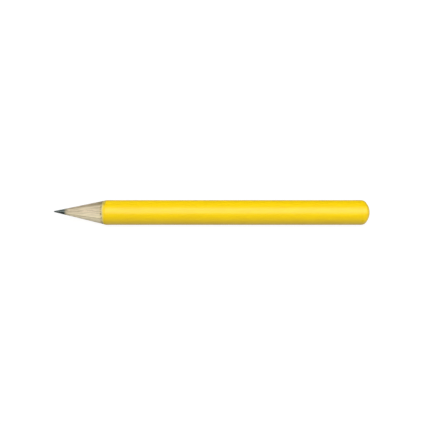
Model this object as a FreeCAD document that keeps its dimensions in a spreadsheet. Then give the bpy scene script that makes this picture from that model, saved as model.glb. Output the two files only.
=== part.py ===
import FreeCAD, Part
import math
import os

import Sketcher

# A short round wooden pencil, sharpened at one end and rounded at the other.
#
# It is modelled in the order in which a pencil is made. Two grooved wood boards close round a graphite
# lead, and glue fills what is left between them. The sandwich is turned, a little off centre, to a round
# blank with a rounded end. Three coats cover the barrel, two dips cover the rounded end, and one conical
# cut, a little out of line with the barrel, sharpens lead, wood and coats together.
#
# While it is being made, X runs along the barrel's axis, from the writing point at x = 0 to the rounded
# end, and Z is up. The Placement of each finished piece then lays the pencil on Z = 0, with the origin
# under the middle of its length. Sizes are in millimetres and degrees.

DRIVING_SIZES = {
    "overall_length": 89.0,  # from the writing point to the rounded end
    "barrel_diameter": 7.0,  # over the coats
    "lead_diameter": 1.7,
    "lead_offset": 0.28,  # height of the lead, and of the seam between the boards, above the barrel's axis
    "glue_thickness": 0.05,
    "primer_thickness": 0.05,
    "colour_thickness": 0.08,
    "clear_thickness": 0.05,
    "end_depth": 2.3,  # length of the rounded end
    "end_corner_radius": 1.6,
    "dip_lap": 0.5,  # how far the dips reach along the barrel from the rounded end
    "cone_half_angle": 12.75,
    "nose_radius": 0.18,  # the writing point is slightly blunt
    "nose_offset": 0.35,  # height of the writing point above the barrel's axis
    "board_width": 8.0,
    "board_height": 4.0,
    "blank_allowance": 1.0,  # length of blank that sharpening takes off ahead of the point
}

# Measures worked out from the driving sizes, as expressions that the features follow.
BLANK_START = "-Sizes.blank_allowance"
BLANK_LENGTH = "(Sizes.overall_length + Sizes.blank_allowance)"
BARREL_HEIGHT = "0"
BARREL_RADIUS = "(Sizes.barrel_diameter / 2)"
LEAD_HEIGHT = "Sizes.lead_offset"
LEAD_RADIUS = "(Sizes.lead_diameter / 2)"
GROOVE_RADIUS = f"({LEAD_RADIUS} + Sizes.glue_thickness)"
HALF_GLUE = "(Sizes.glue_thickness / 2)"
END_START = "(Sizes.overall_length - Sizes.end_depth)"
DIP_START = f"({END_START} - Sizes.dip_lap)"
CORNER_HEIGHT = f"({BARREL_RADIUS} - Sizes.end_corner_radius)"
CONE_ANGLE = "(Sizes.cone_half_angle * 1deg)"
# From the centre of the blunt nose, along the cone's axis, to where the cone is as wide as the barrel.
CONE_REACH = f"({BARREL_RADIUS} / tan({CONE_ANGLE}) - Sizes.nose_radius / sin({CONE_ANGLE}))"

# Depths below the finished surface.
SURFACE = "0"
CLEAR_DEPTH = "Sizes.clear_thickness"
COLOUR_DEPTH = f"({CLEAR_DEPTH} + Sizes.colour_thickness)"
WOOD_DEPTH = f"({COLOUR_DEPTH} + Sizes.primer_thickness)"

# A sketch's numbers for its own origin and axes, and for the points of a curve.
ORIGIN_POINT = (-1, 1)
X_AXIS = -1
Y_AXIS = -2
START = 1
END = 2
CENTRE = 3

NORMAL = FreeCAD.Vector(0, 0, 1)
FULL_TURN = 360
HALF_TURN = 180
FILL_TOLERANCE = 1e-6  # share of the pencil's volume


def point(x, y=0):
    return FreeCAD.Vector(x, y, 0)


def make_sheet(doc):
    """The spreadsheet of driving sizes, with one named cell for each."""
    sheet = doc.addObject("Spreadsheet::Sheet", "Sizes")
    for row, (alias, size) in enumerate(DRIVING_SIZES.items(), start=1):
        sheet.set(f"A{row}", alias)
        sheet.set(f"B{row}", str(size))
        sheet.setAlias(f"B{row}", alias)
    doc.recompute()


def evaluate(owner, expression):
    """The number that an expression gives now."""
    result = owner.evalExpression(expression)
    return float(getattr(result, "Value", result))


def add_sketch(body, name, plane_role):
    """An empty sketch on one of the body's own origin planes."""
    plane = next(f for f in body.Origin.OriginFeatures if f.Role == plane_role)
    sketch = body.newObject("Sketcher::SketchObject", name)
    sketch.AttachmentSupport = [(plane, "")]
    sketch.MapMode = "FlatFace"
    return sketch


def add_section_sketch(body, name, height, roll=0):
    """A sketch across the barrel, where the blank begins ahead of the point.

    Its origin is at a height above the barrel's axis, and it is rolled about its origin.
    """
    sketch = add_sketch(body, name, "YZ_Plane")
    sketch.AttachmentOffset = FreeCAD.Placement(point(0), FreeCAD.Rotation(NORMAL, roll))
    sketch.setExpression(".AttachmentOffset.Base.y", height)
    sketch.setExpression(".AttachmentOffset.Base.z", BLANK_START)
    return sketch


def constrain(sketch, kind, *where):
    sketch.addConstraint(Sketcher.Constraint(kind, *where))


def drive(sketch, name, kind, where, expression):
    """A named dimension of the sketch that follows an expression."""
    dimension = Sketcher.Constraint(kind, *where, evaluate(sketch, expression))
    index = sketch.addConstraint(dimension)
    sketch.renameConstraint(index, name)
    sketch.setExpression(f"Constraints.{name}", expression)


def join_ends(sketch, *curves):
    """Joins the end of each curve to the start of the next one named."""
    for curve, following in zip(curves, curves[1:]):
        constrain(sketch, "Coincident", curve, END, following, START)


def pad(body, sketch, length):
    """Adds the sketch's section, as long as an expression says."""
    feature = body.newObject("PartDesign::Pad", f"{body.Name}Pad")
    feature.Profile = sketch
    feature.setExpression("Length", length)


def turn(body, kind, sketch, axis):
    """Adds (Revolution) or cuts (Groove) a full turn of the sketch about one of its own lines."""
    feature = body.newObject(f"PartDesign::{kind}", f"{body.Name}{kind}")
    feature.Profile = sketch
    feature.ReferenceAxis = (sketch, [axis])
    feature.Angle = FULL_TURN


def add_bar(doc, name, height, radii, length):
    """A round bar along X, or a tube where there are two radii, from ahead of the point."""
    body = doc.addObject("PartDesign::Body", name)
    sketch = add_section_sketch(body, f"{name}Section", height)
    for number, radius in enumerate(radii, start=1):
        circle = sketch.addGeometry(Part.Circle(point(0), NORMAL, evaluate(sketch, radius)))
        constrain(sketch, "Coincident", circle, CENTRE, *ORIGIN_POINT)
        drive(sketch, f"Radius{number}", "Radius", (circle,), radius)
    pad(body, sketch, length)
    return body


def add_grooved_board(doc, name, roll):
    """A wood board with half of the lead's groove in its face, rolled about the lead's axis.

    The outline runs over the face and its groove, then round the back of the board.
    """
    body = doc.addObject("PartDesign::Body", name)
    sketch = add_section_sketch(body, f"{name}Section", LEAD_HEIGHT, roll)

    side = evaluate(sketch, "Sizes.board_width / 2")
    back = evaluate(sketch, "Sizes.board_height")
    face = evaluate(sketch, HALF_GLUE)
    radius = evaluate(sketch, GROOVE_RADIUS)
    edge_angle = math.asin(face / radius)
    edge = radius * math.cos(edge_angle)
    corners = [point(side, face), point(edge, face), point(-edge, face), point(-side, face)]
    far_corners = [point(-side, back), point(side, back)]

    right_face = sketch.addGeometry(Part.LineSegment(corners[0], corners[1]))
    groove_circle = Part.Circle(point(0), NORMAL, radius)
    groove = sketch.addGeometry(Part.ArcOfCircle(groove_circle, edge_angle, math.pi - edge_angle))
    left_face = sketch.addGeometry(Part.LineSegment(corners[2], corners[3]))
    left_side = sketch.addGeometry(Part.LineSegment(corners[3], far_corners[0]))
    far_side = sketch.addGeometry(Part.LineSegment(far_corners[0], far_corners[1]))
    right_side = sketch.addGeometry(Part.LineSegment(far_corners[1], corners[0]))

    join_ends(sketch, right_face, groove, left_face, left_side, far_side, right_side, right_face)
    for line in (right_face, left_face, far_side):
        constrain(sketch, "Horizontal", line)
    for line in (left_side, right_side):
        constrain(sketch, "Vertical", line)
    constrain(sketch, "Coincident", groove, CENTRE, *ORIGIN_POINT)
    constrain(sketch, "Symmetric", right_face, START, left_face, END, Y_AXIS)
    drive(sketch, "GrooveRadius", "Radius", (groove,), GROOVE_RADIUS)
    drive(sketch, "HalfGlue", "DistanceY", (*ORIGIN_POINT, right_face, START), HALF_GLUE)
    drive(sketch, "Width", "DistanceX", (far_side, START, far_side, END), "Sizes.board_width")
    drive(sketch, "Back", "DistanceY", (*ORIGIN_POINT, far_side, END), "Sizes.board_height")
    pad(body, sketch, BLANK_LENGTH)
    return body


def add_rounded_profile(body, name, start, depth):
    """Half of the outline of a bar with a rounded end, at a depth below the finished surface.

    A crown arc and a corner arc make the rounded end. Their centres are the same at every depth, so a
    coat between two depths is equally thick all over. The barrel, the start face and the axis follow.
    """
    sketch = add_sketch(body, name, "XZ_Plane")
    inset = evaluate(sketch, depth)
    start_x = evaluate(sketch, start)
    corner_x = evaluate(sketch, END_START)
    corner_z = evaluate(sketch, CORNER_HEIGHT)
    corner_radius = evaluate(sketch, "Sizes.end_corner_radius")
    rounding = evaluate(sketch, "Sizes.end_depth")
    # The crown passes through the end of the axis and touches the corner arc from outside.
    crown_radius = (rounding**2 + corner_z**2 - corner_radius**2) / (2 * (rounding - corner_radius))
    crown_x = corner_x + rounding - crown_radius
    meeting_angle = math.atan2(corner_z, corner_x - crown_x)
    barrel_z = corner_z + corner_radius - inset

    crown_circle = Part.Circle(point(crown_x), NORMAL, crown_radius - inset)
    crown = sketch.addGeometry(Part.ArcOfCircle(crown_circle, 0, meeting_angle))
    corner_circle = Part.Circle(point(corner_x, corner_z), NORMAL, corner_radius - inset)
    corner = sketch.addGeometry(Part.ArcOfCircle(corner_circle, meeting_angle, math.pi / 2))
    barrel = sketch.addGeometry(Part.LineSegment(point(corner_x, barrel_z), point(start_x, barrel_z)))
    face = sketch.addGeometry(Part.LineSegment(point(start_x, barrel_z), point(start_x)))
    end_x = crown_x + crown_radius - inset
    axis = sketch.addGeometry(Part.LineSegment(point(start_x), point(end_x)))

    constrain(sketch, "Tangent", crown, END, corner, START)
    constrain(sketch, "Tangent", corner, END, barrel, START)
    join_ends(sketch, barrel, face, axis, crown)
    constrain(sketch, "Horizontal", barrel)
    constrain(sketch, "Vertical", face)
    constrain(sketch, "PointOnObject", axis, START, X_AXIS)
    constrain(sketch, "PointOnObject", axis, END, X_AXIS)
    constrain(sketch, "PointOnObject", crown, CENTRE, X_AXIS)
    drive(sketch, "CornerX", "DistanceX", (*ORIGIN_POINT, corner, CENTRE), END_START)
    drive(sketch, "CornerZ", "DistanceY", (*ORIGIN_POINT, corner, CENTRE), CORNER_HEIGHT)
    drive(sketch, "CornerRadius", "Radius", (corner,), f"Sizes.end_corner_radius - {depth}")
    drive(sketch, "EndX", "DistanceX", (*ORIGIN_POINT, axis, END), f"Sizes.overall_length - {depth}")
    drive(sketch, "StartX", "DistanceX", (*ORIGIN_POINT, axis, START), start)
    return sketch


def add_rounded_bar(doc, name, start, depth):
    """A bar with a rounded end, its surface at a depth below the finished one."""
    body = doc.addObject("PartDesign::Body", name)
    profile = add_rounded_profile(body, f"{name}Profile", start, depth)
    turn(body, "Revolution", profile, "H_Axis")
    return body


def add_dip(doc, label, depth, inner_depth):
    """A cap of dried paint on the rounded end, between two depths."""
    body = add_rounded_bar(doc, label, DIP_START, depth)
    doc.recompute()
    solid_volume = body.Shape.Volume
    inside = add_rounded_profile(body, f"{label}Inside", BLANK_START, inner_depth)
    turn(body, "Groove", inside, "H_Axis")
    doc.recompute()
    if not 0 < body.Shape.Volume < solid_volume:
        raise RuntimeError(f"{label} is not hollow")
    return finish(body, label)


def add_sharpened_form(doc):
    """All the space that the sharpener leaves: a long cone with a blunt nose.

    Its axis runs from the nose, above the barrel's axis, down to the place on the barrel's axis where
    the cone is as wide as the barrel.
    """
    body = doc.addObject("PartDesign::Body", "SharpenedForm")
    sketch = add_sketch(body, "SharpenedProfile", "XZ_Plane")
    half_angle = math.radians(evaluate(sketch, "Sizes.cone_half_angle"))
    nose_radius = evaluate(sketch, "Sizes.nose_radius")
    nose_centre = point(nose_radius, evaluate(sketch, "Sizes.nose_offset"))
    tilt = -math.asin(nose_centre.y / evaluate(sketch, CONE_REACH))
    length = evaluate(sketch, BLANK_LENGTH)
    cone_width = nose_radius / math.cos(half_angle) + length * math.tan(half_angle)

    def from_nose(along, beside):
        """The place so far along and beside the cone's axis, from the centre of the nose."""
        x = along * math.cos(tilt) - beside * math.sin(tilt)
        y = along * math.sin(tilt) + beside * math.cos(tilt)
        return nose_centre + point(x, y)

    tip = from_nose(-nose_radius, 0)
    back = from_nose(length, 0)
    rim = from_nose(length, cone_width)
    nose_edge = from_nose(-nose_radius * math.sin(half_angle), nose_radius * math.cos(half_angle))
    nose_circle = Part.Circle(nose_centre, NORMAL, nose_radius)
    edge_angle = math.pi / 2 + half_angle + tilt

    axis = sketch.addGeometry(Part.LineSegment(tip, back))
    back_face = sketch.addGeometry(Part.LineSegment(back, rim))
    cone = sketch.addGeometry(Part.LineSegment(rim, nose_edge))
    nose = sketch.addGeometry(Part.ArcOfCircle(nose_circle, edge_angle, math.pi + tilt))
    crossing = sketch.addGeometry(Part.Point(from_nose(evaluate(sketch, CONE_REACH), 0)))

    join_ends(sketch, nose, axis, back_face, cone)
    constrain(sketch, "Tangent", cone, END, nose, START)
    constrain(sketch, "Perpendicular", axis, back_face)
    constrain(sketch, "PointOnObject", nose, CENTRE, axis)
    constrain(sketch, "PointOnObject", crossing, START, axis)
    constrain(sketch, "PointOnObject", crossing, START, X_AXIS)
    drive(sketch, "NoseX", "DistanceX", (*ORIGIN_POINT, nose, CENTRE), "Sizes.nose_radius")
    drive(sketch, "NoseZ", "DistanceY", (*ORIGIN_POINT, nose, CENTRE), "Sizes.nose_offset")
    drive(sketch, "NoseRadius", "Radius", (nose,), "Sizes.nose_radius")
    drive(sketch, "Reach", "Distance", (nose, CENTRE, crossing, START), CONE_REACH)
    drive(sketch, "Length", "Distance", (nose, CENTRE, axis, END), BLANK_LENGTH)
    drive(sketch, "HalfAngle", "Angle", (axis, START, cone, END), CONE_ANGLE)
    turn(body, "Revolution", sketch, "Edge1")
    return body


def add_common(doc, name, base, tool):
    """What lies both in base and in tool."""
    common = doc.addObject("Part::Common", name)
    common.Base = base
    common.Tool = tool
    return common


def add_glue(doc, sandwich, solids):
    """Glue fills what the lead and the boards leave of the sandwich."""
    filled = doc.addObject("Part::MultiFuse", "LeadAndBoards")
    filled.Shapes = solids
    glue = doc.addObject("Part::Cut", "glue_film")
    glue.Base = sandwich
    glue.Tool = filled
    return finish(glue, "glue_film")


def finish(piece, label):
    """Names a finished piece and lays it down where the pencil rests."""
    piece.Label = label
    piece.setExpression(".Placement.Base.x", "-Sizes.overall_length / 2")
    piece.setExpression(".Placement.Base.z", BARREL_RADIUS)
    return piece


def add_pieces(doc, sharpened_form):
    """Every piece of the pencil, from the lead outwards."""
    blank = add_rounded_bar(doc, "TurnedBlank", BLANK_START, WOOD_DEPTH)
    sandwich = add_common(doc, "Sandwich", blank, sharpened_form)
    inner_solids = {
        "graphite_core": add_bar(doc, "LeadBar", LEAD_HEIGHT, [LEAD_RADIUS], BLANK_LENGTH),
        "upper_slat": add_grooved_board(doc, "UpperBoard", 0),
        "lower_slat": add_grooved_board(doc, "LowerBoard", HALF_TURN),
    }
    pieces = []
    for label, solid in inner_solids.items():
        pieces.append(finish(add_common(doc, label, solid, sandwich), label))
    pieces.append(add_glue(doc, sandwich, list(inner_solids.values())))

    coats = {
        "primer_coat": (WOOD_DEPTH, COLOUR_DEPTH),
        "colour_coat": (COLOUR_DEPTH, CLEAR_DEPTH),
        "clear_coat": (CLEAR_DEPTH, SURFACE),
    }
    coat_length = f"{DIP_START} - {BLANK_START}"
    for label, depths in coats.items():
        radii = [f"{BARREL_RADIUS} - {depth}" for depth in depths]
        tube = add_bar(doc, f"{label}_tube", BARREL_HEIGHT, radii, coat_length)
        pieces.append(finish(add_common(doc, label, tube, sharpened_form), label))

    pieces.append(add_dip(doc, "end_primer_dip", COLOUR_DEPTH, WOOD_DEPTH))
    pieces.append(add_dip(doc, "end_colour_dip", SURFACE, COLOUR_DEPTH))
    return pieces


def check(doc, pieces, whole_pencil):
    """Stops at a failed feature, a bad solid, or pieces that don't exactly fill the pencil."""
    for feature in doc.Objects:
        if "Invalid" in feature.State or "Error" in feature.State:
            raise RuntimeError(f"{feature.Label} failed: {feature.State}")
    for piece in pieces:
        if piece.Shape.isNull() or not piece.Shape.isValid() or len(piece.Shape.Solids) != 1:
            raise RuntimeError(f"{piece.Label} isn't one valid solid")
        box = piece.Shape.optimalBoundingBox()
        print(
            f"{piece.Label:16} {piece.Shape.Volume:10.3f} mm3"
            f"  x {box.XMin:8.3f} {box.XMax:8.3f}"
            f"  y {box.YMin:7.3f} {box.YMax:7.3f}"
            f"  z {box.ZMin:7.3f} {box.ZMax:7.3f}"
        )
    filled_volume = sum(piece.Shape.Volume for piece in pieces)
    whole_volume = whole_pencil.Shape.Volume
    print(f"pieces {filled_volume:.4f} mm3, whole pencil {whole_volume:.4f} mm3")
    if abs(filled_volume - whole_volume) > FILL_TOLERANCE * whole_volume:
        raise RuntimeError("the pieces overlap or leave a gap")


def main():
    doc = FreeCAD.newDocument("Pencil")
    make_sheet(doc)
    sharpened_form = add_sharpened_form(doc)
    pieces = add_pieces(doc, sharpened_form)
    outer_form = add_rounded_bar(doc, "OuterForm", BLANK_START, SURFACE)
    whole_pencil = add_common(doc, "WholePencil", outer_form, sharpened_form)
    doc.recompute()
    check(doc, pieces, whole_pencil)
    os.makedirs("parts", exist_ok=True)
    for piece in pieces:
        piece.Shape.exportStep(f"parts/{piece.Label}.step")


main()
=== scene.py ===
import math

import bmesh
import bpy
import numpy as np
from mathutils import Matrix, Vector, noise


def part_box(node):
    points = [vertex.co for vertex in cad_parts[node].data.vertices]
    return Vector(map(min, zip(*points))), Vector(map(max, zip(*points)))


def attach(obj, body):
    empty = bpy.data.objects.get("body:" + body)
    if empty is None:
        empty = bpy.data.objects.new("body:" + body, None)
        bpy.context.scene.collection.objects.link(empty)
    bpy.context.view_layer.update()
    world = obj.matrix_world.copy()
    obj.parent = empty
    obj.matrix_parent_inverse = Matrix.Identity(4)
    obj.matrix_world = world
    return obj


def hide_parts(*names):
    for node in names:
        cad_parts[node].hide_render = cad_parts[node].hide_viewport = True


# The looks of a short round pencil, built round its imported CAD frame.
# Shapes are worked out in millimetres, in the row frame, and become metres when a mesh is made.

MM = 0.001

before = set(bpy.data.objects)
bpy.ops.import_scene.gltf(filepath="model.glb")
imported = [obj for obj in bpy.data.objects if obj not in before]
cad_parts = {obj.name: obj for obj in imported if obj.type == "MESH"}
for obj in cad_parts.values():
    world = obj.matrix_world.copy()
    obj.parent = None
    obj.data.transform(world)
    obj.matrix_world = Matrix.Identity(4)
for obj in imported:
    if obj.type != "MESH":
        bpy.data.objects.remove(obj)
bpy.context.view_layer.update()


# ---------------------------------------------------------------- sizes from the frame


def node_box(node, digits=2):
    """A CAD node's lowest and highest corner in millimetres, rounded past the flats of its mesh."""
    low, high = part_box(node)
    return np.round(np.array(low) / MM, digits), np.round(np.array(high) / MM, digits)


def node_radius(node):
    """Half of a round node's width across the barrel."""
    low, high = node_box(node)
    return (high[1] - low[1]) / 2


TIP_X = node_box("graphite_core")[0][0]
END_X = node_box("end_colour_dip")[1][0]
DIP_X = node_box("end_colour_dip")[0][0]
LEAD_R = node_radius("graphite_core")
PRIMER_R = node_radius("primer_coat")
COLOUR_R = node_radius("colour_coat")
BARREL_R = node_radius("clear_coat")
AXIS_Z = BARREL_R
WOOD_R = AXIS_Z - node_box("lower_slat")[0][2]
WOOD_DEPTH = BARREL_R - WOOD_R  # below the finished surface

# The lead and the seam between the slats are a little above the barrel's axis.
UPPER_FACE_Z = node_box("upper_slat", digits=3)[0][2]
LOWER_FACE_Z = node_box("lower_slat", digits=3)[1][2]
LEAD_Z = (UPPER_FACE_Z + LOWER_FACE_Z) / 2
GROOVE_R = LEAD_R + UPPER_FACE_Z - LOWER_FACE_Z

# These are the CAD model's too, but its boxes don't show them.
CONE_HALF_ANGLE = math.radians(12.75)
NOSE_RADIUS = 0.18
NOSE_OFFSET = 0.35
END_DEPTH = 2.3
END_CORNER_RADIUS = 1.6

# Columns go round the barrel, and rows along it.
COLUMNS = 256
SLAT_COLUMNS = 150
NOSE_ROWS = 13
LEAD_ROWS = 129
CONE_ROWS = 190
WOOD_END_ROWS = 24
CUT_ROWS = 7
HIDDEN_COAT_ROWS = 6
GLOSS_ROWS = 170
DIP_INNER_ROWS = 24
DIP_ROWS = 64
PROFILE_STEPS = 400  # for looking up the rounded end


# ---------------------------------------------------------------- sharpened cone and rounded end

TAN_CONE = math.tan(CONE_HALF_ANGLE)
COS_CONE = math.cos(CONE_HALF_ANGLE)
SIN_CONE = math.sin(CONE_HALF_ANGLE)
NOSE = np.array([TIP_X + NOSE_RADIUS, 0.0, AXIS_Z + NOSE_OFFSET])
CONE_REACH = BARREL_R / TAN_CONE - NOSE_RADIUS / SIN_CONE
CROSSING = np.array([NOSE[0] + math.sqrt(CONE_REACH**2 - NOSE_OFFSET**2), 0.0, AXIS_Z])
CONE_AXIS = (CROSSING - NOSE) / CONE_REACH
CONE_SIDE = np.array([0.0, 1.0, 0.0])
CONE_UP = np.cross(CONE_AXIS, CONE_SIDE)
APEX = NOSE - CONE_AXIS * NOSE_RADIUS / SIN_CONE

LEAD_EDGE_X = TIP_X + LEAD_R / TAN_CONE + NOSE_RADIUS - NOSE_RADIUS / SIN_CONE
END_CORNER_X = END_X - END_DEPTH
END_CORNER_R = BARREL_R - END_CORNER_RADIUS
CROWN_RADIUS = (END_DEPTH**2 + END_CORNER_R**2 - END_CORNER_RADIUS**2) / (
    2 * (END_DEPTH - END_CORNER_RADIUS)
)
CROWN_X = END_X - CROWN_RADIUS
CROWN_ANGLE = math.atan2(END_CORNER_R, END_CORNER_X - CROWN_X)


def cone_x(y, z):
    """How far along the barrel the sharpened cone is, at places across it."""
    rise = z - APEX[2]
    across = CONE_AXIS[2] * rise
    a = 1 - CONE_AXIS[0] ** 2 / COS_CONE**2
    b = -2 * CONE_AXIS[0] * across / COS_CONE**2
    c = y**2 + rise**2 - across**2 / COS_CONE**2
    return APEX[0] + (-b - np.sqrt(b**2 - 4 * a * c)) / (2 * a)


def cone_normal(points):
    """Outward normals of the cone at points on it."""
    offset = points - APEX
    along = offset @ CONE_AXIS
    beside = offset - along[..., None] * CONE_AXIS
    beside /= np.linalg.norm(beside, axis=-1, keepdims=True)
    return beside * COS_CONE - CONE_AXIS * SIN_CONE


def end_profile(depth, steps):
    """(x, r) along the rounded end, a depth below its surface, from the barrel to the axis."""
    corner = np.linspace(math.pi / 2, CROWN_ANGLE, steps // 2, endpoint=False)
    crown = np.linspace(CROWN_ANGLE, 0, steps - steps // 2)
    corner_radius = END_CORNER_RADIUS - depth
    crown_radius = CROWN_RADIUS - depth
    corner_x = END_CORNER_X + corner_radius * np.cos(corner)
    corner_r = END_CORNER_R + corner_radius * np.sin(corner)
    x = np.concatenate([corner_x, CROWN_X + crown_radius * np.cos(crown)])
    r = np.concatenate([corner_r, crown_radius * np.sin(crown)])
    return x, r


def end_x(y, z, depth):
    """How far along the barrel the rounded end is, a depth below its surface, at places across it."""
    profile_x, profile_r = end_profile(depth, PROFILE_STEPS)
    return np.interp(np.hypot(y, z - AXIS_Z), profile_r[::-1], profile_x[::-1])


# ---------------------------------------------------------------- small tools

CLOUD_DIMENSION = 0.8
CLOUD_LACUNARITY = 2.1
SEED_STEP = np.array([17.3, 5.1, 9.7])  # each seed reads the noise this much further away

THETA = np.linspace(0, 2 * math.pi, COLUMNS + 1)
THETA_SHARE = THETA / (2 * math.pi)


def circle(r, theta, centre_z=AXIS_Z):
    """y and z of points at radius r and angle theta."""
    return r * np.cos(theta), centre_z + r * np.sin(theta)


def ring(x, r, theta, centre_z=AXIS_Z):
    """Points at x and radius r, or one x and r for each angle, round an axis along the barrel."""
    y, z = circle(r, theta, centre_z)
    return np.stack(np.broadcast_arrays(x, y, z), axis=-1)


def closed_columns(points):
    """The last column of a full turn is the first one again, to the last digit."""
    points[:, -1] = points[:, 0]
    return points


def cloud(points, grain, seed, octaves=4):
    """Smooth noise at points, from about -1 to 1. grain is its size along each axis, in millimetres."""
    places = points.reshape(-1, 3) / np.array(grain) + seed * SEED_STEP
    values = [noise.fractal(Vector(p), CLOUD_DIMENSION, CLOUD_LACUNARITY, octaves) for p in places]
    return np.array(values).reshape(points.shape[:-1])


def half_cloud(points, grain, seed, octaves=4):
    """The same noise, from about 0 to 1."""
    return 0.5 + 0.5 * cloud(points, grain, seed, octaves)


def swing(turns):
    """0 to 1 and back over each turn, from the middle up."""
    return 0.5 + 0.5 * np.sin(2 * math.pi * turns)


def smooth_step(low, high, value):
    """0 at low and before it, 1 at high and past it, and a soft rise between. low may be above high."""
    share = np.clip((value - low) / (high - low), 0, 1)
    return share * share * (3 - 2 * share)


def spaced(ring_points, weights, first=0.0, last=1.0):
    """Where each ring comes in the texture: by its distance from the one before, times a weight."""
    steps = np.linalg.norm(np.diff(ring_points, axis=0), axis=-1).max(axis=1) * weights
    along = np.concatenate([[0], np.cumsum(steps)])
    return first + (last - first) * (along / along[-1])


# ---------------------------------------------------------------- meshes

JOIN_DISTANCE = 0.0002
FLAT_DISTANCE = 0.0001
SHARP_ANGLE = math.radians(40)
UV_NAME = "OFBake"


class Surface:
    """Points, faces, texture places and masks of one piece, gathered and then made into a mesh."""

    def __init__(self):
        self.points = []
        self.faces = []
        self.places = []
        self.zones = []
        self.masks = {}
        self.count = 0

    def add_points(self, points, **masks):
        """Adds points with a value of each mask for every point, and returns their numbers."""
        shape = points.shape[:-1]
        numbers = np.arange(self.count, self.count + int(np.prod(shape))).reshape(shape)
        self.points.append(points.reshape(-1, 3))
        self.count += numbers.size
        for name, values in masks.items():
            self.masks.setdefault(name, []).append(np.broadcast_to(values, shape).ravel())
        return numbers

    def add_point(self, x, y, z):
        """Adds one point and returns its number."""
        return self.add_points(np.array([[x, y, z]]))[0]

    def add_face(self, numbers, places, zone=0):
        self.faces.append([int(n) for n in numbers])
        self.places.extend([(float(u), float(v)) for u, v in places])
        self.zones.append(zone)

    def add_grid(self, numbers, u, v, zones=None):
        """Quads between the rows and columns of a grid of point numbers."""
        for i in range(len(numbers) - 1):
            zone = 0 if zones is None else int(zones[i])
            for j in range(numbers.shape[1] - 1):
                corners = ((i, j), (i, j + 1), (i + 1, j + 1), (i + 1, j))
                face = [numbers[a, b] for a, b in corners]
                places = [(u[b], v[a]) for a, b in corners]
                self.add_face(face, places, zone)

    def add_cap(self, numbers, pole, u, v_ring, v_pole):
        """Triangles from a ring to the point that closes it."""
        for j in range(len(numbers) - 1):
            middle = (u[j] + u[j + 1]) / 2
            places = [(u[j], v_ring), (u[j + 1], v_ring), (middle, v_pole)]
            self.add_face([numbers[j], numbers[j + 1], pole], places)

    def make(self, name, materials):
        """A piece with this surface, its normals outward, closed where rings meet."""
        mesh = bpy.data.meshes.new(name)
        mesh.from_pydata(np.concatenate(self.points) * MM, [], self.faces)
        mesh.uv_layers.new(name=UV_NAME).data.foreach_set("uv", np.array(self.places).ravel())
        mesh.polygons.foreach_set("material_index", self.zones)
        for mask, values in self.masks.items():
            attribute = mesh.attributes.new(mask, "FLOAT", "POINT")
            attribute.data.foreach_set("value", np.concatenate(values).astype(np.float32))
        for material in materials:
            mesh.materials.append(material)
        piece = bpy.data.objects.new(name, mesh)
        bpy.context.scene.collection.objects.link(piece)
        close_mesh(mesh)
        mesh.shade_smooth()
        mesh.set_sharp_from_angle(angle=SHARP_ANGLE)
        return piece


def close_mesh(mesh):
    """Joins points that coincide, drops faces with no area and turns the normals outward."""
    work = bmesh.new()
    work.from_mesh(mesh)
    bmesh.ops.remove_doubles(work, verts=work.verts, dist=JOIN_DISTANCE * MM)
    bmesh.ops.dissolve_degenerate(work, edges=work.edges, dist=FLAT_DISTANCE * MM)
    bmesh.ops.recalc_face_normals(work, faces=work.faces)
    work.to_mesh(mesh)
    work.free()


# ---------------------------------------------------------------- materials

# Sockets of a Mix node that mixes colours.
MIX_INPUTS = (0, 6, 7)
MIX_OUTPUT = 2


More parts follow.
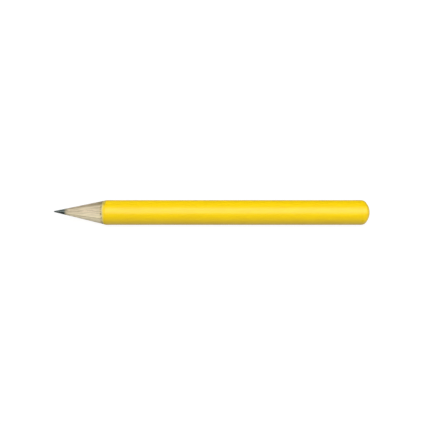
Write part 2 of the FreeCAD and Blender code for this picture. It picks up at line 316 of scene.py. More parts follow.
class Shader:
    """A node material with one Principled BSDF, and short ways to add what feeds it."""

    def __init__(self, name, **values):
        self.material = bpy.data.materials.new(name)
        self.material.use_nodes = True
        self.tree = self.material.node_tree
        self.bsdf = self.tree.nodes["Principled BSDF"]
        for socket, value in values.items():
            self.bsdf.inputs[socket.replace("_", " ")].default_value = value
        self.place = self.add("ShaderNodeTexCoord").outputs["Object"]

    def add(self, kind, **settings):
        node = self.tree.nodes.new(kind)
        for key, value in settings.items():
            setattr(node, key, value)
        return node

    def link(self, source, target):
        self.tree.links.new(source, target)

    def stretched(self, grain):
        """The place in the object, so that one unit of noise is grain millimetres along each axis."""
        mapping = self.add("ShaderNodeMapping")
        mapping.inputs["Scale"].default_value = [1 / (g * MM) for g in grain]
        self.link(self.place, mapping.inputs["Vector"])
        return mapping.outputs["Vector"]

    def noise(self, grain, detail=3.0, roughness=0.55):
        node = self.add("ShaderNodeTexNoise")
        node.inputs["Scale"].default_value = 1.0
        node.inputs["Detail"].default_value = detail
        node.inputs["Roughness"].default_value = roughness
        self.link(self.stretched(grain), node.inputs["Vector"])
        return node.outputs["Fac"]

    def mask(self, name):
        """A value that the piece carries at each of its points."""
        return self.add("ShaderNodeAttribute", attribute_name=name).outputs["Fac"]

    def spread(self, value, low, high, to_low=0.0, to_high=1.0):
        """value from low to high becomes to_low to to_high, and stays there beyond."""
        node = self.add("ShaderNodeMapRange")
        set_range(node, low, high, to_low, to_high)
        self.link(value, node.inputs["Value"])
        return node.outputs["Result"]

    def total(self, a, b):
        """The sum of two sockets' values."""
        node = self.add("ShaderNodeMath", operation="ADD")
        self.link(a, node.inputs[0])
        self.link(b, node.inputs[1])
        return node.outputs[0]

    def mix(self, factor, a, b):
        """Mixes two colours by a socket's value. Each colour is a socket or three numbers."""
        node = self.add("ShaderNodeMix", data_type="RGBA", blend_type="MIX")
        for number, value in zip(MIX_INPUTS, (factor, a, b)):
            if isinstance(value, tuple):
                node.inputs[number].default_value = (*value, 1.0)
            else:
                self.link(value, node.inputs[number])
        return node.outputs[MIX_OUTPUT]

    def bump(self, height, depth_mm, normal=None):
        """A bump whose height goes from 0 to depth_mm."""
        node = self.add("ShaderNodeBump")
        node.inputs["Strength"].default_value = 1.0
        node.inputs["Distance"].default_value = depth_mm * MM
        self.link(height, node.inputs["Height"])
        if normal is not None:
            self.link(normal, node.inputs["Normal"])
        return node.outputs["Normal"]

    def feed(self, **sources):
        """Links sockets to the BSDF and returns the finished material."""
        for socket, source in sources.items():
            self.link(source, self.bsdf.inputs[socket.replace("_", " ")])
        return self.material


def set_range(node, low, high, to_low, to_high):
    """The four numbers of a Map Range node."""
    numbers = {"From Min": low, "From Max": high, "To Min": to_low, "To Max": to_high}
    for socket, number in numbers.items():
        node.inputs[socket].default_value = number


YELLOW = (0.93, 0.640, 0.003)
YELLOW_DEEP = (0.89, 0.595, 0.003)
YELLOW_CUT = (0.88, 0.69, 0.08)
CREAM = (0.84, 0.68, 0.20)
# The tone of the painted shade on the upper side of the cut edge.
LACQUER_SHADED = (0.30, 0.235, 0.02)
WOOD_LIGHT = (0.76, 0.652, 0.468)
WOOD_DARK = (0.24, 0.188, 0.105)
WOOD_FIBRE = (0.62, 0.518, 0.355)
# Paler wood tones: painted fill light that brightens the lower wood against its shading.
PAINTED_FILL_WOOD_LIGHT = (0.97, 0.86, 0.60)
PAINTED_FILL_WOOD_DARK = (0.70, 0.60, 0.41)
PAINTED_FILL_WOOD_FIBRE = (0.92, 0.80, 0.55)
WOOD_GLUED = (0.40, 0.33, 0.18)
WOOD_STAINED = (0.62, 0.51, 0.15)
# A dark line along the paint's edge, and painted shade where the shade band meets the paint.
WOOD_EDGE_DARK_AND_SHADE = (0.16, 0.125, 0.035)
GRAPHITE_DARK = (0.080, 0.096, 0.090)
GRAPHITE_LIGHT = (0.145, 0.171, 0.162)
GRAPHITE_RIM = (0.20, 0.22, 0.21, 1.0)
GRAPHITE_DUST = (0.14, 0.155, 0.125)
GLUE_AMBER = (0.40, 0.32, 0.17)
PAPER_DARK = (0.15, 0.15, 0.15)
PAPER_LIGHT = (0.17, 0.17, 0.17)
PAPER_GLOW_NEAR = (0.87, 0.87, 0.87)
PAPER_GLOW_FAR = (0.99, 0.99, 0.99)

NOISE_RANGE = (0.3, 0.7)  # most of what a noise texture gives
CRUMB_RANGE = (0.35, 0.7)
PORE_RANGE = (0.66, 0.74)
DUST_RANGE = (0.70, 0.76)
SMEAR_LENGTH = 1.0  # over which graphite fades out on the glue
GLUE_SMEAR = 0.8  # how far it reaches behind the lead's edge
PAPER_NEAR = 60  # the paper gets whiter from this far from the middle
PAPER_FAR = 250  # to this far


def lacquer_material(name, tone, deep_tone, roughness):
    """Gloss lacquer: almost even in colour, with faint lengthwise streaks and a soft orange peel."""
    shader = Shader(name, Coat_Weight=0.20, Coat_Roughness=0.12, Specular_IOR_Level=0.36)
    streaks = shader.noise((14.0, 0.5, 0.5), detail=2.0)
    patches = shader.noise((5.0, 2.0, 2.0), detail=2.0)
    peel = shader.noise((0.9, 0.45, 0.45), detail=2.0)
    dust = shader.noise((0.12, 0.12, 0.12), detail=1.0)
    tint = shader.spread(shader.total(streaks, patches), 0.75, 1.3)
    colour = shader.mix(tint, tone, deep_tone)
    rough = shader.spread(patches, *NOISE_RANGE, roughness - 0.03, roughness + 0.04)
    normal = shader.bump(streaks, depth_mm=0.006)
    normal = shader.bump(peel, 0.004, normal)
    normal = shader.bump(shader.spread(dust, *DUST_RANGE), 0.004, normal)
    return shader.feed(Base_Color=colour, Roughness=rough, Normal=normal, Coat_Normal=normal)


def cut_lacquer_material(name, tone, deep_tone):
    """Lacquer where the sharpener has cut through it: paler, matte and scratched, with painted shade on
    its upper side.
    """
    shader = Shader(name, Specular_IOR_Level=0.3)
    scratches = shader.noise((0.05, 0.4, 0.4))
    crumbs = shader.noise((0.15, 0.15, 0.15))
    colour = shader.mix(shader.spread(crumbs, *CRUMB_RANGE), tone, deep_tone)
    # Painted shade on the upper side of the cut edge.
    colour = shader.mix(shader.mask("soil"), colour, LACQUER_SHADED)
    rough = shader.spread(scratches, *NOISE_RANGE, 0.5, 0.75)
    normal = shader.bump(shader.total(scratches, crumbs), depth_mm=0.01)
    return shader.feed(Base_Color=colour, Roughness=rough, Normal=normal)


def wood_material():
    """Bare softwood: growth lines and fibres along the barrel, and the marks that its masks place,
    painted shade and painted fill light among them.
    """
    shader = Shader("bare_wood", Specular_IOR_Level=0.25)
    fibres = shader.noise((2.4, 0.07, 0.07), detail=4.0, roughness=0.6)
    pores = shader.noise((0.7, 0.045, 0.045), detail=1.0)
    patches = shader.noise((3.0, 1.2, 1.2), detail=2.0)
    # Painted fill light: the lower wood is paler.
    painted_fill = shader.mask("painted_fill")
    pale = shader.mix(painted_fill, WOOD_LIGHT, PAINTED_FILL_WOOD_LIGHT)
    fibre = shader.mix(painted_fill, WOOD_FIBRE, PAINTED_FILL_WOOD_FIBRE)
    dark = shader.mix(painted_fill, WOOD_DARK, PAINTED_FILL_WOOD_DARK)
    colour = shader.mix(shader.spread(fibres, 0.35, 0.68), pale, fibre)
    colour = shader.mix(shader.spread(patches, 0.35, 0.75, 0.0, 0.25), colour, dark)
    # Late wood, and the painted shade band on the outer layers.
    colour = shader.mix(shader.mask("growth_and_shade"), colour, dark)
    colour = shader.mix(shader.spread(pores, *PORE_RANGE, 0.0, 0.45), colour, dark)
    marks = {
        "seam": WOOD_GLUED,
        "stain": WOOD_STAINED,
        "smudge": GRAPHITE_DUST,
        # A dark line by the paint, with painted shade on the shade band.
        "rim": WOOD_EDGE_DARK_AND_SHADE,
    }
    for mask_name, mark in marks.items():
        colour = shader.mix(shader.mask(mask_name), colour, mark)
    rough = shader.spread(fibres, *NOISE_RANGE, 0.52, 0.72)
    normal = shader.bump(fibres, depth_mm=0.012)
    normal = shader.bump(shader.spread(pores, *PORE_RANGE, 1.0, 0.0), 0.012, normal)
    return shader.feed(Base_Color=colour, Roughness=rough, Normal=normal)


def graphite_material():
    """Fired graphite and clay: dark, with a dull metallic sheen and fine rings from the sharpener."""
    shader = Shader("graphite", Metallic=0.75, Specular_IOR_Level=0.3, Specular_Tint=GRAPHITE_RIM)
    scratches = shader.noise((0.035, 0.8, 0.8))
    mottle = shader.noise((0.35, 0.25, 0.25), detail=4.0)
    specks = shader.noise((0.06, 0.06, 0.06), detail=2.0)
    tint = shader.spread(shader.total(scratches, mottle), 0.8, 1.25)
    colour = shader.mix(tint, GRAPHITE_DARK, GRAPHITE_LIGHT)
    rough = shader.spread(mottle, *NOISE_RANGE, 0.20, 0.30)
    normal = shader.bump(scratches, depth_mm=0.005)
    normal = shader.bump(specks, 0.003, normal)
    return shader.feed(Base_Color=colour, Roughness=rough, Normal=normal)


def film_material(name, tone, deep_tone, roughness, smear_end=None, soiled=False):
    """A thin film seen only at its edge: glue or primer. Graphite smears it up to smear_end."""
    shader = Shader(name, Specular_IOR_Level=0.3)
    crumbs = shader.noise((0.4, 0.15, 0.15))
    colour = shader.mix(shader.spread(crumbs, *CRUMB_RANGE), tone, deep_tone)
    if smear_end is not None:
        split = shader.add("ShaderNodeSeparateXYZ")
        shader.link(shader.place, split.inputs["Vector"])
        smear_start = smear_end - SMEAR_LENGTH
        smear = shader.spread(split.outputs["X"], smear_start * MM, smear_end * MM, 1.0, 0.0)
        colour = shader.mix(smear, colour, GRAPHITE_DUST)
    # Painted shade on the upper side of the cut edge.
    if soiled:
        colour = shader.mix(shader.mask("soil"), colour, LACQUER_SHADED)
    rough = shader.spread(crumbs, *NOISE_RANGE, roughness - 0.08, roughness + 0.08)
    normal = shader.bump(crumbs, depth_mm=0.008)
    return shader.feed(Base_Color=colour, Roughness=rough, Normal=normal)


def paper_material():
    """White paper that glows a little, so that shadows on it stay pale, and is whiter further out."""
    shader = Shader("white_paper", Roughness=0.9, Specular_IOR_Level=0.0, Emission_Strength=1.0)
    fibres = shader.noise((0.6, 0.6, 0.6))
    colour = shader.mix(fibres, PAPER_DARK, PAPER_LIGHT)
    away = shader.add("ShaderNodeVectorMath", operation="LENGTH")
    shader.link(shader.place, away.inputs[0])
    further = shader.spread(away.outputs["Value"], PAPER_NEAR * MM, PAPER_FAR * MM)
    glow = shader.mix(further, PAPER_GLOW_NEAR, PAPER_GLOW_FAR)
    return shader.feed(Base_Color=colour, Emission_Color=glow)


# ---------------------------------------------------------------- the lead

LEAD_BLADE_PITCH = 0.11
LEAD_BLADE_DEPTH = 0.004
LEAD_FLATS = 5
LEAD_FLAT_DEPTH = 0.008
LEAD_GRAIN_DEPTH = 0.006
LEAD_MARKS_END = LEAD_R / TAN_CONE * 1.3  # from the tip
HIDDEN_LEAD_WEIGHT = 0.01  # share of the texture, where the cone's is 1
LEAD_CAP_V = 0.02  # what the nose's and the rear end's last triangles take of the texture


def lead_cone(side):
    """Rings over the nose and along the cone, up to where the cone leaves the lead at each angle."""
    # The blunt nose is part of a ball, from its pole to where the cone touches it.
    nose_angles = np.linspace(0, math.pi / 2 - CONE_HALF_ANGLE, NOSE_ROWS + 1)[1:]
    rings = []
    for angle in nose_angles:
        rings.append(
            NOSE - CONE_AXIS * NOSE_RADIUS * math.cos(angle) + side * NOSE_RADIUS * math.sin(angle)
        )

    # The cone goes on until it is as far from the lead's axis as the lead's surface is.
    lift = APEX[2] - LEAD_Z
    across = TAN_CONE * np.cos(THETA)
    rise = CONE_AXIS[2] + TAN_CONE * CONE_UP[2] * np.sin(THETA)
    a = across**2 + rise**2
    b = 2 * lift * rise
    longest = (-b + np.sqrt(b**2 - 4 * a * (lift**2 - LEAD_R**2))) / (2 * a)
    start = NOSE_RADIUS / SIN_CONE - NOSE_RADIUS * SIN_CONE
    for share in np.linspace(0, 1, LEAD_ROWS + 1)[1:]:
        along = start + (longest - start) * share
        rings.append(APEX + along[:, None] * CONE_AXIS + (along * TAN_CONE)[:, None] * side)
    return np.array(rings)


def lead_marks(turned):
    """How deep the marks in the lead are: rings left by the blade, faint flats and a worn grain."""
    from_tip = turned[..., 0] - TIP_X
    waver = 0.6 * cloud(turned, (0.5, 0.8, 0.8), 1, 2)
    blade = swing(from_tip / LEAD_BLADE_PITCH + waver)
    flats = 0.5 + 0.5 * np.cos(LEAD_FLATS * THETA + 0.7 * np.sin(2 * THETA))
    grain = half_cloud(turned, (0.09, 0.12, 0.12), 2)
    fade_in = smooth_step(0.1, 0.5, from_tip)
    fade_out = 1 - smooth_step(0.9, 1.0, from_tip / LEAD_MARKS_END)
    depth = LEAD_BLADE_DEPTH * blade + LEAD_FLAT_DEPTH * flats + LEAD_GRAIN_DEPTH * grain
    return depth * (fade_in * fade_out)


def build_lead():
    """The lead: blunt nose, turned cone, and the rod that the wood hides."""
    side = np.cos(THETA)[:, None] * CONE_SIDE + np.sin(THETA)[:, None] * CONE_UP
    turned = lead_cone(side)
    turned = turned - cone_normal(turned) * lead_marks(turned)[..., None]

    # The rod inside the wood, and its end under the dip.
    edge = turned[-1]
    theta = np.arctan2(edge[:, 2] - LEAD_Z, edge[:, 1])
    rod_end = end_x(*circle(LEAD_R, theta, LEAD_Z), WOOD_DEPTH)
    hidden = []
    for share in (0.02, 0.1, 0.3, 0.6, 1.0):
        x = edge[:, 0] + (rod_end - edge[:, 0]) * share
        hidden.append(ring(x, LEAD_R, theta, LEAD_Z))
    for r in np.linspace(LEAD_R, 0, 6)[1:-1]:
        x = end_x(*circle(r, theta, LEAD_Z), WOOD_DEPTH)
        hidden.append(ring(x, r, theta, LEAD_Z))

    rings = closed_columns(np.concatenate([turned, np.array(hidden)]))
    weights = np.ones(len(rings) - 1)
    weights[len(turned) - 1 :] = HIDDEN_LEAD_WEIGHT
    v = spaced(rings, weights, LEAD_CAP_V, 1 - LEAD_CAP_V)
    surface = Surface()
    numbers = surface.add_points(rings)
    nose_tip = surface.add_point(*(NOSE - CONE_AXIS * NOSE_RADIUS))
    rear_tip = surface.add_point(end_x(0, LEAD_Z, WOOD_DEPTH), 0, LEAD_Z)
    surface.add_cap(numbers[0], nose_tip, THETA_SHARE, v[0], 0)
    surface.add_grid(numbers, THETA_SHARE, v)
    surface.add_cap(numbers[-1], rear_tip, THETA_SHARE, v[-1], 1)
    return surface.make("graphite_lead", [graphite_material()])


# ---------------------------------------------------------------- the wood

GROWTH_SPACING = 0.62
EARLY_WOOD_DEPTH = 0.016
FIBRE_DEPTH = 0.020
WOOD_BLADE_PITCH = 0.42
WOOD_BLADE_DEPTH = 0.006
SMUDGE_LENGTH = 0.40
SHADE_BAND_RIM_LENGTH = 1.6
STAIN_LENGTH = 0.5
SEAM_WIDTH = 0.06
HIDDEN_WOOD_WEIGHT = 0.015  # share of the texture, where the cut's is 1
FLAT_FACES_V = 0.05  # what the slat's flat faces take of the texture


def growth_lines_and_shade_band(points, tilt, seed):
    """The dark late wood of each year, in layers along the barrel, and a broad band of painted shade.

    Both are from 0 to 1, and the painted shade band darkens the layers that lie furthest from the
    middle.
    """
    y = points[..., 1]
    z = points[..., 2] - AXIS_Z
    warp = cloud(points, (9.0, 2.2, 2.2), seed, 3)
    height = y * math.sin(tilt) + z * math.cos(tilt)
    wave = 0.5 + 0.5 * np.cos(2 * math.pi * (height / GROWTH_SPACING + 0.9 * warp))
    strength = 0.75 + 0.25 * cloud(points, (6.0, 0.6, 0.6), seed + 1, 2)
    reach = np.hypot(y, z)
    # The broad band is painted shade on the layers furthest from the middle.
    shade_band = smooth_step(0.56, 0.82, height / reach + 0.04 * warp) * smooth_step(0.5, 1.2, reach)
    streaks = half_cloud(points, (5.0, 0.22, 0.22), seed + 7, 3)
    band_shade = shade_band * (0.62 + 0.40 * streaks + 0.15 * wave**3)
    shade = np.maximum(0.58 * wave**3 * strength, band_shade)
    return np.clip(shade, 0, 1), shade_band


def slat_arc(share, upper):
    """y and z from one edge of a slat's face to the other, a share of the way from groove to back."""
    face_z = UPPER_FACE_Z if upper else LOWER_FACE_Z
    r = GROOVE_R + (WOOD_R - GROOVE_R) * share
    centre_z = LEAD_Z + (AXIS_Z - LEAD_Z) * share
    first = math.asin((face_z - centre_z) / r)
    last = math.pi - first if upper else -math.pi - first
    return circle(r, np.linspace(first, last, SLAT_COLUMNS + 1), centre_z)


def slat_ring(place_x, share, upper):
    """A slat's arc where place_x(y, z) says that it is along the barrel."""
    y, z = slat_arc(share, upper)
    return np.stack([place_x(y, z), y, z], axis=-1)


def cut_relief(cone, growth_and_shade, shares, seed):
    """How far below the cone the cut is: late wood stands proud, fibres tear, the blade steps."""
    fibres = half_cloud(cone, (1.6, 0.08, 0.08), seed + 2)
    waver = 0.5 * cloud(cone, (2.0, 1.0, 1.0), seed + 3, 2)
    blade = swing(cone[..., 0] / WOOD_BLADE_PITCH + waver)
    depth = EARLY_WOOD_DEPTH * (1 - growth_and_shade) + FIBRE_DEPTH * fibres + WOOD_BLADE_DEPTH * blade
    from_lead = smooth_step(0.0, 0.02, shares)[:, None]
    to_paint = smooth_step(0.0, 0.01, 1 - shares)[:, None]
    return depth * from_lead * to_paint


def cut_marks(cone, shade_band, upper, face_z, seed):
    """Masks on the cut: dust by the lead, a dark dashed line and a stain by the paint, painted shade
    where the shade band meets the paint, painted fill light on the lower wood, and the seam.
    """
    behind_lead = cone[..., 0] - cone[0, :, 0]
    before_paint = cone[-1, :, 0] - cone[..., 0]
    patchy = half_cloud(cone, (0.8, 0.25, 0.25), seed + 4)
    smudge = np.clip(np.exp(-behind_lead / SMUDGE_LENGTH) * (0.25 + 0.75 * patchy), 0, 0.75)
    dashes = smooth_step(0.46, 0.58, half_cloud(cone, (1.2, 0.22, 0.22), seed + 9, 3))
    # A dark dashed line along the paint's edge.
    rim = np.exp(-((before_paint / (0.30 + 0.30 * patchy)) ** 2)) * 0.90 * dashes
    # Painted shade: the shade band darkens further by the paint.
    shade_band_rim = 0.80 * shade_band * np.exp(-((before_paint / SHADE_BAND_RIM_LENGTH) ** 2))
    stain = np.exp(-((before_paint / STAIN_LENGTH) ** 2)) * (0.30 + 0.40 * patchy)
    slope = (cone[..., 2] - AXIS_Z) / np.hypot(cone[..., 1], cone[..., 2] - AXIS_Z)
    # Painted fill light: the upper slat turns pale below its top, and the lower slat is pale all over.
    painted_fill = smooth_step(0.71, 0.22, slope) if upper else np.ones(slope.shape)
    seam = np.exp(-np.abs(cone[..., 2] - face_z) / SEAM_WIDTH) * (0.35 + 0.45 * patchy)
    return {
        "smudge": smudge,
        "rim": np.maximum(rim, shade_band_rim),
        "stain": stain,
        "painted_fill": painted_fill,
        "seam": seam,
    }


def build_slat(name, upper, tilt, seed, material):
    """Half of the wood: cut cone, round back, rounded end and half of the lead's groove."""
    face_z = UPPER_FACE_Z if upper else LOWER_FACE_Z
    shares = np.linspace(0, 1, CONE_ROWS)
    cone = np.array([slat_ring(cone_x, share, upper) for share in shares])
    growth_and_shade, shade_band = growth_lines_and_shade_band(cone, tilt, seed)
    relief = cut_relief(cone, growth_and_shade, shares, seed)
    cone = cone - cone_normal(cone) * relief[..., None]
    cone[:, (0, -1), 2] = face_z
    cut_masks = {"growth_and_shade": growth_and_shade, **cut_marks(cone, shade_band, upper, face_z, seed)}

    # The round back under the coats, the rounded end, and the groove.
    back_end = slat_ring(lambda y, z: np.full(y.shape, END_CORNER_X), 1.0, upper)
    back = [cone[-1] + (back_end - cone[-1]) * share for share in (0.02, 0.1, 0.4, 1.0)]
    end_shares = (1 - np.linspace(0, 1, WOOD_END_ROWS + 1)[1:]) ** 0.6
    end = [slat_ring(lambda y, z: end_x(y, z, WOOD_DEPTH), share, upper) for share in end_shares]
    groove_start = cone[0]
    groove_end = end[-1]
    groove = [groove_end + (groove_start - groove_end) * share for share in (0.4, 0.8, 0.97)]

    hidden = np.array(back + end + groove)
    rings = np.concatenate([cone, hidden, cone[:1]])
    weights = np.ones(len(rings) - 1)
    weights[len(cone) - 1 :] = HIDDEN_WOOD_WEIGHT
    v = spaced(rings, weights, FLAT_FACES_V)
    nothing = np.zeros(hidden.shape[:-1])
    masks = {mask: np.concatenate([values, nothing]) for mask, values in cut_masks.items()}
    surface = Surface()
    numbers = surface.add_points(rings[:-1], **masks)
    numbers = np.concatenate([numbers, numbers[:1]])
    u = np.linspace(0, 1, SLAT_COLUMNS + 1)
    surface.add_grid(numbers, u, v)

    # The flat faces on both sides of the groove. The glue hides them.
    for column in (0, -1):
        outline = rings[:-1, column]
        places = [(0.5 + 0.4 * p[0] / END_X, 0.02 + 0.004 * abs(p[1])) for p in outline]
        surface.add_face(numbers[:-1, column], places)
    return surface.make(name, [material])


# ---------------------------------------------------------------- the coats

CHIP_DEPTH = 0.14
# How dark the painted shade on the cut edge gets.
CUT_EDGE_SHADE_STRENGTH = 0.80
COAT_SEED = 51
WAVE_DEPTH = 0.006
SWELL_DEPTH = 0.008
SETTLE_LENGTH = 3.0  # behind the cut, over which the skin takes up its waves
# The rear edge of a coat, which the dip meets: how far ahead of the dip, and how far below the surface.
COAT_REAR = ((0.03, 0.006), (0.0, 0.018))
CUT_WEIGHT = 6.0  # share of the texture, where the skin's is 1
HIDDEN_COAT_WEIGHT = 0.02


def chips():
    """How far the paint has flaked back from the cut, for each angle round the barrel, from 0 to 1."""
    round_barrel = ring(0.0, BARREL_R, THETA[:-1])
    flakes = smooth_step(0.05, 0.55, cloud(round_barrel, (1.0, 0.75, 0.75), 31, 3))
    nibbles = half_cloud(round_barrel, (1.0, 0.16, 0.16), 32, 3)
    depth = 0.75 * flakes + 0.25 * nibbles
    return np.append(depth, depth[0])


def soil():
    """How much painted shade the cut edge has at each angle, from 0 to 1: on the upper side, by the
    painted shade band.
    """
    angle = np.degrees(THETA)
    return smooth_step(120, 85, angle) * smooth_step(0, 55, angle)


CHIPS = chips()
CUT_EDGE_SHADE = soil()


def cut_x(r):
    """Where the sharpener's cut ends the coats at radius r: more ragged towards the outside."""
    share = (r - WOOD_R) / WOOD_DEPTH
    return cone_x(*circle(r, THETA)) + CHIP_DEPTH * share**1.5 * CHIPS


def coat_skin(front, outer_r, rows):
    """Rings along a coat, from its ragged front edge to plain circles behind it."""
    level = front.max()
    near = [ring(front + back, outer_r, THETA) for back in (0.02, 0.05, 0.1)]
    fade = []
    for share in (0.7, 0.4, 0.2):
        fade.append(ring(level + 0.15 + (front - level) * share, outer_r, THETA))
    long_x = np.linspace(level + 0.4, DIP_X - 0.1, rows)
    return np.array(near + fade + [ring(x, outer_r, THETA) for x in long_x])


def wavy_skin(skin_points, level, outer_r):
    """The skin as lacquer dries: a fine lengthwise wave on a broad swell, only ever inward."""
    waves = half_cloud(skin_points, (11.0, 0.8, 0.8), COAT_SEED, 3)
    swell = half_cloud(skin_points, (16.0, 6.0, 6.0), COAT_SEED + 1, 2)
    settle = smooth_step(0.0, SETTLE_LENGTH, skin_points[..., 0] - level)
    skin_r = outer_r - settle * (WAVE_DEPTH * waves + SWELL_DEPTH * swell)
    return ring(skin_points[..., 0], skin_r, THETA)


def build_coat(name, inner_r, outer_r, skin, cut, rows):
    """One coat of the barrel: cut face, skin, rear edge and inner face."""
    cut_rings = np.array([ring(cut_x(r), r, THETA) for r in np.linspace(inner_r, outer_r, CUT_ROWS)])
    front = cut_rings[-1][:, 0]
    skin_points = coat_skin(front, outer_r, rows)
    if skin is not cut:
        skin_points = wavy_skin(skin_points, front.max(), outer_r)
    rear = [ring(DIP_X - ahead, outer_r - below, THETA) for ahead, below in COAT_REAR]
    inner_front = cut_rings[0][:, 0]
    inner = []
    for share in (1.0, 0.6, 0.25, 0.05):
        inner.append(ring(inner_front + (DIP_X - inner_front) * share, inner_r, THETA))

    rings = closed_columns(np.concatenate([cut_rings, skin_points, np.array(rear + inner)]))
    closed = np.concatenate([rings, rings[:1]])
    cut_count = CUT_ROWS - 1
    skin_end = cut_count + len(skin_points)
    weights = np.ones(len(closed) - 1)
    weights[:cut_count] = CUT_WEIGHT
    weights[skin_end:] = HIDDEN_COAT_WEIGHT
    zones = np.zeros(len(closed) - 1)
    zones[:cut_count] = 1
    soil_mask = np.zeros(rings.shape[:-1])
    # Painted shade on the upper side of the cut faces.
    soil_mask[:CUT_ROWS] = CUT_EDGE_SHADE_STRENGTH * CUT_EDGE_SHADE
    surface = Surface()
    numbers = surface.add_points(rings, soil=soil_mask)
    numbers = np.concatenate([numbers, numbers[:1]])
    surface.add_grid(numbers, THETA_SHARE, spaced(closed, weights), zones)
    return surface.make(name, [skin, cut])


# ---------------------------------------------------------------- the rounded end

# The rolled edge of the dip: how far behind its front, and how far below the surface.
DIP_EDGE = ((0.0, 0.035), (0.015, 0.014), (0.05, 0.002), (0.12, 0.0), (0.3, 0.0))
SAG_DEPTH = 0.03
SAG_SEED = 41
HIDDEN_DIP_WEIGHT = 0.05  # share of the texture, where the outside's is 1
DIP_CAP_V = 0.01  # what the triangles at each pole take of the texture


def build_dip(skin):
    """The painted cap on the rounded end: a shell from its inner pole to its outer pole."""
    thickness = BARREL_R - PRIMER_R
    inner_x, inner_r = end_profile(thickness, DIP_INNER_ROWS)
    inner = [ring(x, r, THETA) for x, r in zip(inner_x[::-1][1:], inner_r[::-1][1:])]
    front = [ring(DIP_X, PRIMER_R, THETA)]
    for back, below in DIP_EDGE:
        front.append(ring(DIP_X + back, BARREL_R - below, THETA))
    outer_x, outer_r = end_profile(0.0, DIP_ROWS)
    outer = np.array([ring(x, r, THETA) for x, r in zip(outer_x[:-1], outer_r[:-1])])

    # The paint sagged a little as it dried, and pulled thin over the corner.
    sag = half_cloud(outer, (2.5, 1.8, 1.8), SAG_SEED, 3)
    inward = np.array([CROWN_X, 0.0, AXIS_Z]) - outer
    inward /= np.linalg.norm(inward, axis=-1, keepdims=True)
    behind_corner = smooth_step(0.0, 0.4, outer[..., 0] - END_CORNER_X)
    before_crown = smooth_step(0.0, 0.6, END_X - outer[..., 0] + 0.15)
    outer = outer + inward * (SAG_DEPTH * sag * (behind_corner * before_crown))[..., None]

    rings = closed_columns(np.concatenate([np.array(inner), np.array(front), outer]))
    weights = np.ones(len(rings) - 1)
    weights[: len(inner) + 1] = HIDDEN_DIP_WEIGHT
    v = spaced(rings, weights, DIP_CAP_V, 1 - DIP_CAP_V)
    surface = Surface()
    numbers = surface.add_points(rings)
    inner_pole = surface.add_point(END_X - thickness, 0, AXIS_Z)
    outer_pole = surface.add_point(END_X, 0, AXIS_Z)
    surface.add_cap(numbers[0], inner_pole, THETA_SHARE, v[0], 0)
    surface.add_grid(numbers, THETA_SHARE, v)
    surface.add_cap(numbers[-1], outer_pole, THETA_SHARE, v[-1], 1)
    return surface.make("rounded_end", [skin])


# ---------------------------------------------------------------- the pencil


def finish_piece(piece, slot, *nodes):
    """Puts a piece on the pencil's one body, in the place of its CAD nodes."""
    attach(piece, "root")
    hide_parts(*nodes)


def build_pencil():
    finish_piece(build_lead(), "graphite", "graphite_core")

    wood = wood_material()
    finish_piece(build_slat("wood_upper", True, math.radians(36), 11, wood), "wood", "upper_slat")
    finish_piece(build_slat("wood_lower", False, math.radians(52), 21, wood), "wood", "lower_slat")

    primer = film_material("primer_edge", CREAM, WOOD_FIBRE, 0.65, soiled=True)
    cut = cut_lacquer_material("cut_lacquer", YELLOW_CUT, YELLOW_DEEP)
    cut_gloss = cut_lacquer_material("cut_gloss", YELLOW, YELLOW_DEEP)
    gloss = lacquer_material("yellow_lacquer", YELLOW, YELLOW_DEEP, 0.34)
    dipped = lacquer_material("dipped_lacquer", YELLOW, YELLOW_DEEP, 0.30)

    primer_ring = build_coat("primer_ring", WOOD_R, PRIMER_R, primer, primer, HIDDEN_COAT_ROWS)
    finish_piece(primer_ring, "primer", "primer_coat")
    lacquer_body = build_coat("lacquer_body", PRIMER_R, COLOUR_R, cut, cut, HIDDEN_COAT_ROWS)
    finish_piece(lacquer_body, "yellow_lacquer", "colour_coat")
    lacquer_gloss = build_coat("lacquer_gloss", COLOUR_R, BARREL_R, gloss, cut_gloss, GLOSS_ROWS)
    finish_piece(lacquer_gloss, "clear_lacquer", "clear_coat")
    finish_piece(build_dip(dipped), "dip_lacquer", "end_colour_dip")

    # Two films stay as the CAD has them.
    smear_end = LEAD_EDGE_X + GLUE_SMEAR
    films = {
        "glue_film": film_material("dried_glue", GLUE_AMBER, WOOD_DARK, 0.5, smear_end=smear_end),
        "end_primer_dip": film_material("primer_dip", CREAM, WOOD_FIBRE, 0.65),
    }
    for node, material in films.items():
        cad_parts[node].material_slots[0].material = material


# ---------------------------------------------------------------- stage, light and camera

CAMERA_ELEVATION = 38.0
CAMERA_DISTANCE = 150.0
CAMERA_AIM_X = 0.255
CAMERA_CLIP = (0.005, 50.0)  # in metres
PICTURE_WIDTH = 120.16  # what the picture spans at the barrel, in millimetres
SENSOR_WIDTH = 36.0
KEY_ABOVE_CAMERA = 17.6  # degrees, which puts the highlight on the barrel where the photograph has it
WORLD_FADE = (-0.8, 0.0)  # how far up a direction points, from the full light below to the dim room

SWEEP_RADIUS = 900.0
SWEEP_BEND = 600.0
SWEEP_BEND_ROWS = 13
SWEEP_WALL = 4 * SWEEP_BEND
SWEEP_TURNS = 96


def from_barrel(azimuth, elevation, distance):
    """A place at an azimuth and elevation in degrees and a distance in millimetres from the barrel."""
    a = math.radians(azimuth)
    e = math.radians(elevation)
    direction = Vector((math.sin(a) * math.cos(e), -math.cos(a) * math.cos(e), math.sin(e)))
    return Vector((CAMERA_AIM_X, 0, AXIS_Z)) * MM + direction * distance * MM


def aim(thing, target):
    thing.rotation_euler = (target - thing.location).to_track_quat("-Z", "Y").to_euler()


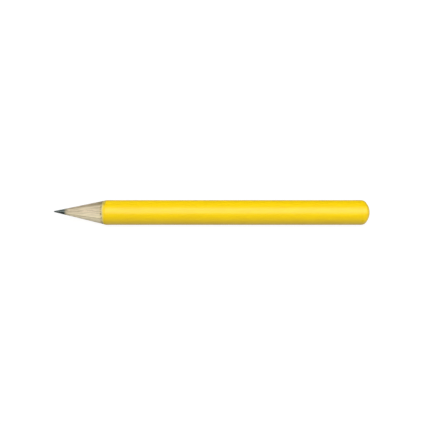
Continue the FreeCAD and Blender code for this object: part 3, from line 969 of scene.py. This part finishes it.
def add_softbox(name, azimuth, elevation, distance, width, height, power):
    """A plain rectangular light that faces the barrel, of a power in watts."""
    light = bpy.data.lights.new(name, "AREA")
    light.shape = "RECTANGLE"
    light.size = width * MM
    light.size_y = height * MM
    light.energy = power
    softbox = bpy.data.objects.new(name, light)
    bpy.context.scene.collection.objects.link(softbox)
    softbox.location = from_barrel(azimuth, elevation, distance)
    aim(softbox, from_barrel(0, 0, 0))
    softbox.visible_camera = False


def add_world(below, above):
    """The light of the surroundings: the table's white from below, and a dim room above."""
    world = bpy.data.worlds.new("studio")
    world.use_nodes = True
    nodes = world.node_tree.nodes
    links = world.node_tree.links
    direction = nodes.new("ShaderNodeTexCoord")
    split = nodes.new("ShaderNodeSeparateXYZ")
    level = nodes.new("ShaderNodeMapRange")
    set_range(level, *WORLD_FADE, below, above)
    background = nodes["Background"]
    background.inputs["Color"].default_value = (1.0, 1.0, 1.0, 1.0)
    links.new(direction.outputs["Generated"], split.inputs["Vector"])
    links.new(split.outputs["Z"], level.inputs["Value"])
    links.new(level.outputs["Result"], background.inputs["Strength"])
    bpy.context.scene.world = world


def add_sweep():
    """A sweep of white paper: a round floor that bends up into a wall far outside the view.

    Its white is for the camera alone. The world light stands for what it would throw back at the
    pencil.
    """
    bend = np.linspace(0, math.pi / 2, SWEEP_BEND_ROWS)
    radii = np.concatenate([[SWEEP_RADIUS / 3], SWEEP_RADIUS + SWEEP_BEND * np.sin(bend)])
    heights = np.concatenate([[0.0], SWEEP_BEND * (1 - np.cos(bend))])
    radii = np.append(radii, radii[-1])
    heights = np.append(heights, SWEEP_WALL)
    turns = np.linspace(0, 2 * math.pi, SWEEP_TURNS, endpoint=False)
    points = [(r * math.cos(a), r * math.sin(a), h) for r, h in zip(radii, heights) for a in turns]
    faces = [list(range(SWEEP_TURNS))]
    for i in range(len(radii) - 1):
        for j in range(SWEEP_TURNS):
            following = (j + 1) % SWEEP_TURNS
            first = i * SWEEP_TURNS
            second = first + SWEEP_TURNS
            faces.append([first + j, second + j, second + following, first + following])
    mesh = bpy.data.meshes.new("paper_sweep")
    mesh.from_pydata(np.array(points) * MM, [], faces)
    mesh.materials.append(paper_material())
    mesh.shade_smooth()
    sweep = bpy.data.objects.new("paper_sweep", mesh)
    bpy.context.scene.collection.objects.link(sweep)
    sweep.visible_diffuse = False
    sweep.visible_glossy = False
    sweep.visible_shadow = False


def add_camera():
    data = bpy.data.cameras.new("camera")
    data.sensor_width = SENSOR_WIDTH
    data.lens = SENSOR_WIDTH * CAMERA_DISTANCE / PICTURE_WIDTH
    data.clip_start, data.clip_end = CAMERA_CLIP
    camera = bpy.data.objects.new("camera", data)
    bpy.context.scene.collection.objects.link(camera)
    camera.location = from_barrel(0, CAMERA_ELEVATION, CAMERA_DISTANCE)
    aim(camera, from_barrel(0, 0, 0))
    bpy.context.scene.camera = camera


build_pencil()
add_sweep()
add_world(below=0.58, above=0.03)
add_softbox(
    "key_softbox",
    azimuth=0,
    elevation=CAMERA_ELEVATION + KEY_ABOVE_CAMERA,
    distance=300,
    width=800,
    height=290,
    power=1.92,
)
add_softbox(
    "side_softbox", azimuth=82, elevation=22, distance=400, width=300, height=300, power=0.5
)
add_softbox(
    "back_softbox", azimuth=225, elevation=6, distance=500, width=260, height=300, power=2.3
)
add_camera()
bpy.context.scene.view_settings.view_transform = "Standard"
